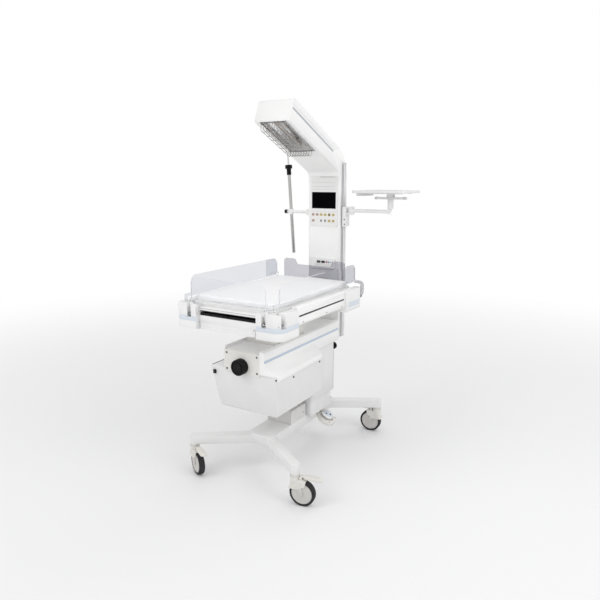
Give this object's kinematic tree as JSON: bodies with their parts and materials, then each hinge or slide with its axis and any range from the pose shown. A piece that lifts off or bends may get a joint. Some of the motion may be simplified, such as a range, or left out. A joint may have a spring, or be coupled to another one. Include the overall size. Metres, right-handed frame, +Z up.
{
  "type": "infant radiant warmer",
  "caption": "Castered infant radiant warmer: lifting column with an inclined heater head, tilting bed with fold-down clear panels, pole and side shelf on the column rails",
  "frame": {"origin": "on the floor, midway between the four caster stems", "axes": "+Z up, -Y towards the foot end of the bed (the front), X across, shelf on the +X side"},
  "size_m": [0.9438, 1.085, 1.8665],
  "materials": {
    "steel_white": "satin powder coat",
    "plastic_white": "satin",
    "plastic_cream": "satin",
    "plastic_grey": "satin",
    "plastic_blue": "satin",
    "plastic_black": "satin",
    "glass_black": "gloss",
    "membrane": "satin",
    "tyre_rubber": "matte",
    "steel_bright": "polished",
    "steel_brushed": "brushed",
    "alu": "anodised",
    "acrylic": "clear, grey tint",
    "cover_fabric": "wipe-clean coated",
    "quartz": "frosted"
  },
  "bodies": {
    "base": {"base_frame": "steel_white", "power_box": "plastic_grey", "pedestal": "steel_white", "lift_cylinder": "steel_brushed", "foot_switch": "plastic_white"},
    "foot_rocker": {"foot_rocker": "plastic_blue"},
    "fork_fr": {"fork_fr": "plastic_white"},
    "wheel_fr": {"tyre_fr": "tyre_rubber", "hub_fr": "plastic_grey"},
    "brake_fr": {"brake_fr": "plastic_cream"},
    "fork_rr": {"fork_rr": "plastic_white"},
    "wheel_rr": {"tyre_rr": "tyre_rubber", "hub_rr": "plastic_grey"},
    "brake_rr": {"brake_rr": "plastic_cream"},
    "fork_fl": {"fork_fl": "plastic_white"},
    "wheel_fl": {"tyre_fl": "tyre_rubber", "hub_fl": "plastic_grey"},
    "brake_fl": {"brake_fl": "plastic_cream"},
    "fork_rl": {"fork_rl": "plastic_white"},
    "wheel_rl": {"tyre_rl": "tyre_rubber", "hub_rl": "plastic_grey"},
    "brake_rl": {"brake_rl": "plastic_cream"},
    "carriage": {"lift_shroud": "plastic_white", "lift_rod": "steel_bright", "chassis_beam": "plastic_white", "tub": "plastic_white", "front_plate": "steel_white", "side_cover_right": "plastic_white", "side_cover_left": "plastic_white", "side_stripes": "plastic_blue", "neck": "plastic_cream", "tilt_pin": "steel_brushed", "rear_bumper": "plastic_black", "column_housing": "plastic_white", "control_panel": "plastic_grey", "display": "glass_black", "keys": "membrane", "side_rails": "alu", "port_module": "plastic_grey", "reflector": "steel_bright", "heater_tubes": "quartz", "wire_guard": "steel_bright", "rail_clamps": "plastic_grey", "iv_tube": "steel_bright"},
    "bed": {"bed_frame": "plastic_white", "corner_caps": "plastic_white", "accent_bands": "plastic_blue", "mattress_pan": "plastic_cream", "mattress": "cover_fabric", "hinge_pins": "steel_brushed", "head_panel": "acrylic"},
    "tilt_knob": {"tilt_knob": "plastic_black"},
    "xray_tray": {"xray_tray": "alu"},
    "side_panel_right": {"side_panel_right": "acrylic"},
    "side_panel_left": {"side_panel_left": "acrylic"},
    "foot_panel": {"foot_panel": "acrylic"},
    "iv_rod": {"iv_rod": "steel_bright"},
    "iv_knob": {"iv_knob": "plastic_black"},
    "shelf_arm": {"shelf_arm": "steel_white"},
    "shelf_tray": {"shelf_tray": "steel_white"}
  },
  "joints": [
    {"name": "foot_rocker_tilt", "type": "hinge", "parent": "base", "child": "foot_rocker", "pos_m": [0.075, 0.188, 0.183], "axis": [0.9063, 0, -0.4226], "range_deg": [-6, 6], "stiffness_Nm_per_rad": 1.5},
    {"name": "swivel_fr", "type": "hinge", "parent": "base", "child": "fork_fr", "pos_m": [0.305, -0.47, 0.157], "axis": [0, 0, 1], "continuous": true},
    {"name": "roll_fr", "type": "hinge", "parent": "fork_fr", "child": "wheel_fr", "pos_m": [0.34253, -0.46405, 0.0625], "axis": [-0.1564, 0.9877, 0], "continuous": true},
    {"name": "brake_press_fr", "type": "hinge", "parent": "fork_fr", "child": "brake_fr", "pos_m": [0.33661, -0.46499, 0.1395], "axis": [-0.1564, 0.9877, 0], "range_deg": [0, 8]},
    {"name": "swivel_rr", "type": "hinge", "parent": "base", "child": "fork_rr", "pos_m": [0.305, 0.47, 0.157], "axis": [0, 0, 1], "continuous": true},
    {"name": "roll_rr", "type": "hinge", "parent": "fork_rr", "child": "wheel_rr", "pos_m": [0.26709, 0.46735, 0.0625], "axis": [0.0698, -0.9976, 0], "continuous": true},
    {"name": "brake_press_rr", "type": "hinge", "parent": "fork_rr", "child": "brake_rr", "pos_m": [0.27308, 0.46777, 0.1395], "axis": [0.0698, -0.9976, 0], "range_deg": [0, 8]},
    {"name": "swivel_fl", "type": "hinge", "parent": "base", "child": "fork_fl", "pos_m": [-0.305, -0.47, 0.157], "axis": [0, 0, 1], "continuous": true},
    {"name": "roll_fl", "type": "hinge", "parent": "fork_fl", "child": "wheel_fl", "pos_m": [-0.27145, -0.48784, 0.0625], "axis": [0.4695, 0.8829, 0], "continuous": true},
    {"name": "brake_press_fl", "type": "hinge", "parent": "fork_fl", "child": "brake_fl", "pos_m": [-0.27675, -0.48502, 0.1395], "axis": [0.4695, 0.8829, 0], "range_deg": [0, 8]},
    {"name": "swivel_rl", "type": "hinge", "parent": "base", "child": "fork_rl", "pos_m": [-0.305, 0.47, 0.157], "axis": [0, 0, 1], "continuous": true},
    {"name": "roll_rl", "type": "hinge", "parent": "fork_rl", "child": "wheel_rl", "pos_m": [-0.34071, 0.457, 0.0625], "axis": [0.342, -0.9397, 0], "continuous": true},
    {"name": "brake_press_rl", "type": "hinge", "parent": "fork_rl", "child": "brake_rl", "pos_m": [-0.33507, 0.45905, 0.1395], "axis": [0.342, -0.9397, 0], "range_deg": [0, 8]},
    {"name": "lift", "type": "slide", "parent": "base", "child": "carriage", "axis": [0, 0, 1], "range_m": [-0.07, 0.12]},
    {"name": "bed_tilt", "type": "hinge", "parent": "carriage", "child": "bed", "pos_m": [0, -0.165, 0.768], "axis": [1, 0, 0], "range_deg": [-10, 10]},
    {"name": "tilt_knob_turn", "type": "hinge", "parent": "carriage", "child": "tilt_knob", "pos_m": [0, -0.459, 0.618], "axis": [0, 1, 0], "range_deg": [-360, 360]},
    {"name": "tray_pull", "type": "slide", "parent": "bed", "child": "xray_tray", "axis": [0, -1, 0], "range_m": [0, 0.4]},
    {"name": "side_panel_right_fold", "type": "hinge", "parent": "bed", "child": "side_panel_right", "pos_m": [0.284, -0.165, 0.87], "axis": [0, 1, 0], "range_deg": [0, 178]},
    {"name": "side_panel_left_fold", "type": "hinge", "parent": "bed", "child": "side_panel_left", "pos_m": [-0.284, -0.165, 0.87], "axis": [0, -1, 0], "range_deg": [0, 178]},
    {"name": "foot_panel_fold", "type": "hinge", "parent": "bed", "child": "foot_panel", "pos_m": [0, -0.572, 0.87], "axis": [1, 0, 0], "range_deg": [0, 178]},
    {"name": "drip_rod_slide", "type": "slide", "parent": "carriage", "child": "iv_rod", "axis": [-0.0698, 0, 0.9976], "range_m": [-0.07, 0.14]},
    {"name": "pole_knob_turn", "type": "hinge", "parent": "carriage", "child": "iv_knob", "pos_m": [-0.257, 0.385, 1.305], "axis": [-1, 0, 0], "continuous": true},
    {"name": "shelf_arm_swing", "type": "hinge", "parent": "carriage", "child": "shelf_arm", "pos_m": [0.154, 0.385, 1.32], "axis": [0, 0, 1], "range_deg": [-90, 90]},
    {"name": "shelf_tray_turn", "type": "hinge", "parent": "shelf_arm", "child": "shelf_tray", "pos_m": [0.386, 0.385, 1.41], "axis": [0, 0, 1], "range_deg": [-90, 90]}
  ],
  "couplings": [
    {"joint": "tilt_knob_turn", "follows": "bed_tilt", "ratio": 36}
  ]
}
